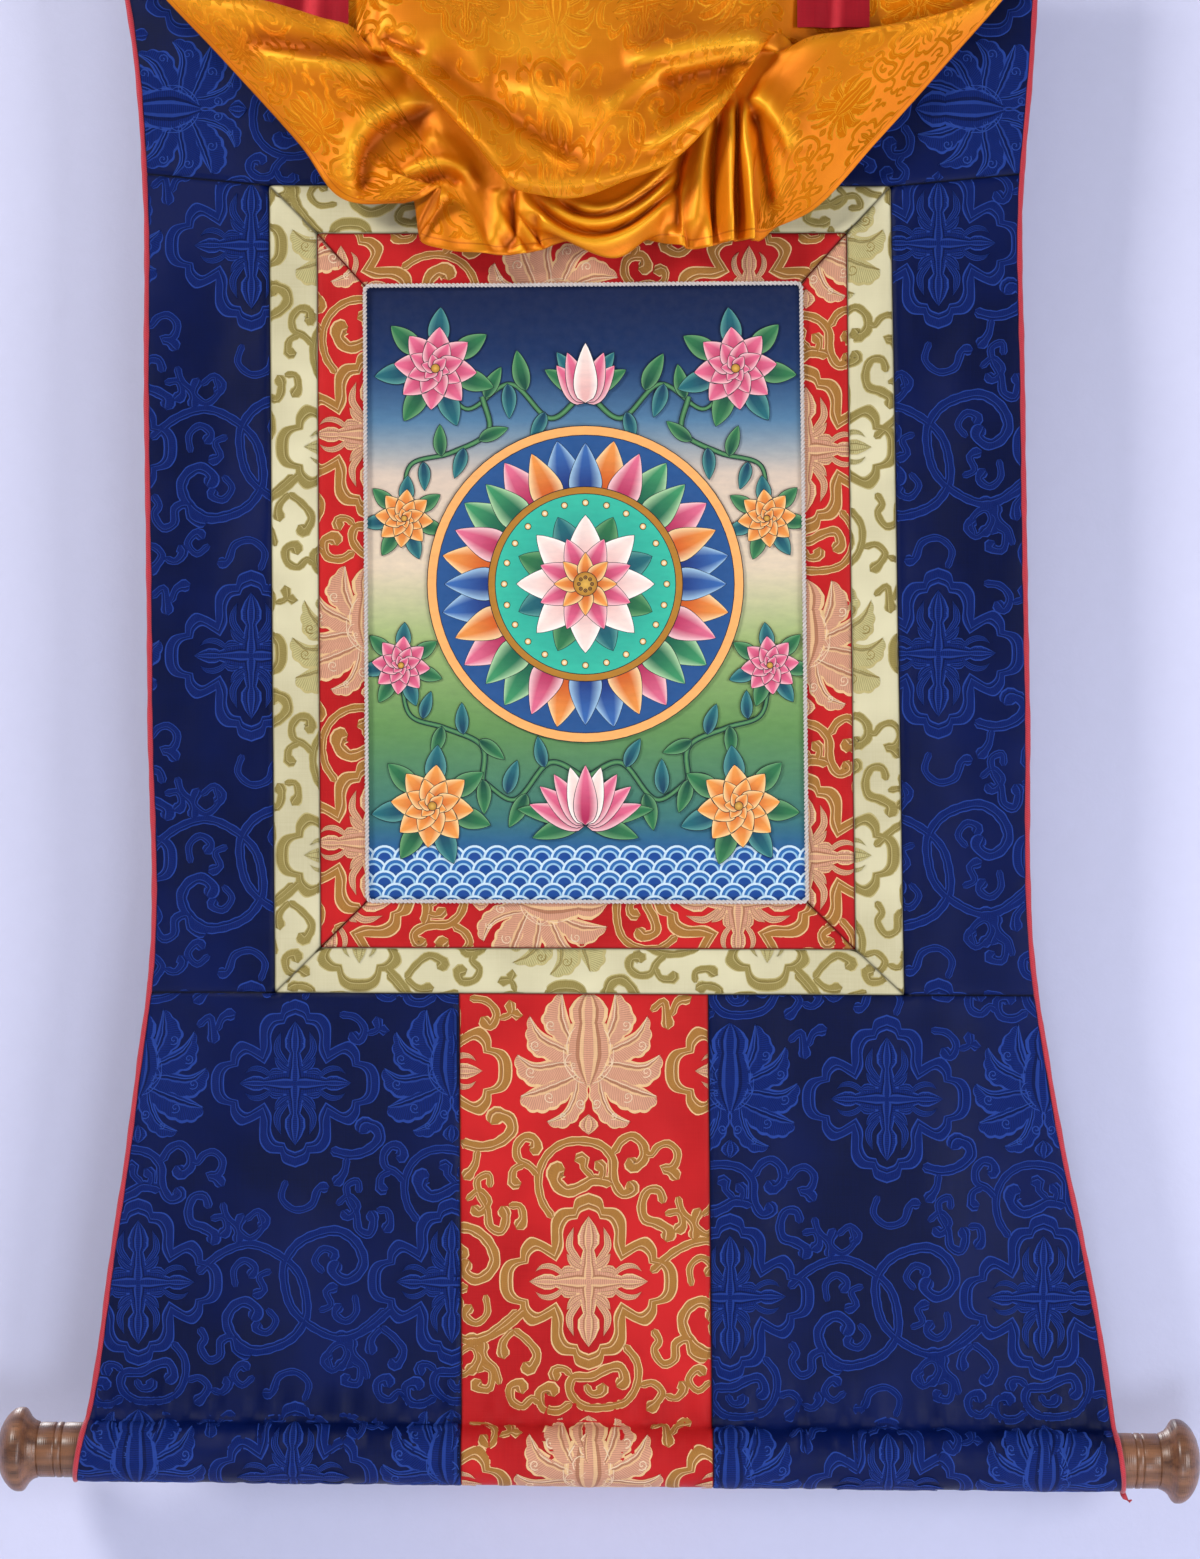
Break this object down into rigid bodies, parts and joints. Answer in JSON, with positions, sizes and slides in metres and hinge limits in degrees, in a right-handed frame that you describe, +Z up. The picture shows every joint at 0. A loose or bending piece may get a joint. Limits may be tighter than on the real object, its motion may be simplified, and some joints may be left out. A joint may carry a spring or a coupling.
{
  "type": "hanging thangka scroll painting with its bottom roller",
  "caption": "Scroll painting hung flat: brocade mount round a painted sheet, wooden roller in a sewn casing, gathered silk cover.",
  "frame": {"origin": "middle of the top edge, in the cloth's mid-plane", "axes": "+X to the right and the front faces -Y, +Z up"},
  "size_m": [0.7676, 0.0689, 1.0159],
  "materials": {
    "navy_brocade": "figured brocade",
    "yellow_brocade": "figured brocade",
    "red_brocade": "figured brocade with metal thread",
    "painted_cloth": "matt paint on primed cloth",
    "white_cord": "twisted cord",
    "red_binding": "narrow bound edge",
    "turned_wood": "turned and oiled",
    "gold_silk": "silk damask",
    "crimson_silk": "plain silk satin"
  },
  "bodies": {
    "root": {"top_panel": "navy_brocade", "side_strip_left": "navy_brocade", "side_strip_right": "navy_brocade", "bottom_panel_left": "navy_brocade", "bottom_panel_right": "navy_brocade", "door_panel": "red_brocade", "yellow_frame_top": "yellow_brocade", "yellow_frame_right": "yellow_brocade", "yellow_frame_bottom": "yellow_brocade", "yellow_frame_left": "yellow_brocade", "red_frame_top": "red_brocade", "red_frame_right": "red_brocade", "red_frame_bottom": "red_brocade", "red_frame_left": "red_brocade", "painting": "painted_cloth", "painting_cord": "white_cord", "binding_left": "red_binding", "binding_right": "red_binding", "bottom_rod": "turned_wood", "knob_left": "turned_wood", "knob_right": "turned_wood", "silk_cover": "gold_silk", "ribbon_left": "crimson_silk", "ribbon_right": "crimson_silk"}
  },
  "joints": []
}
